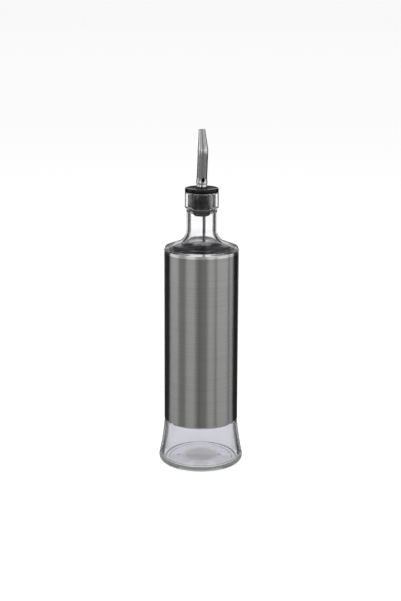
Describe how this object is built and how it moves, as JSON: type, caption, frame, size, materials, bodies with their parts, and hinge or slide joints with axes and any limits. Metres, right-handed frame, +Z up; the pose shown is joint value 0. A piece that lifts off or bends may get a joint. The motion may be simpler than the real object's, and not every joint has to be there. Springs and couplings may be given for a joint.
{
  "type": "oil bottle with pourer",
  "caption": "Clear glass oil bottle with a flared foot, a brushed steel sleeve round its body, and a bent steel pourer spout in a black cork.",
  "frame": {"origin": "middle of the foot, on the surface that the bottle stands on", "axes": "+Z up along the bottle's axis, +Y the way the spout pours, -Y the side of its vent hole"},
  "size_m": [0.0734, 0.0734, 0.2919],
  "materials": {
    "glass": "clear, faint cool tint",
    "brushed_steel": "brushed round the body",
    "adhesive": "clear",
    "black_rubber": "satin",
    "polished_steel": "polished stainless steel",
    "breather_steel": "drawn tube"
  },
  "bodies": {
    "bottle": {"glass_bottle": "glass", "steel_sleeve": "brushed_steel", "sleeve_bond_lower": "adhesive", "sleeve_bond_upper": "adhesive"},
    "cork": {"pourer_cork": "black_rubber"},
    "spout": {"spout_collar": "polished_steel", "spout_tube": "polished_steel", "breather_tube": "breather_steel"}
  },
  "joints": [
    {"name": "pourer_pull", "type": "slide", "parent": "bottle", "child": "cork", "axis": [0, 0, 1], "range_m": [0, 0.075]},
    {"name": "spout_turn", "type": "hinge", "parent": "cork", "child": "spout", "pos_m": [0, 0, 0.2425], "axis": [0, 0, 1], "continuous": true}
  ]
}
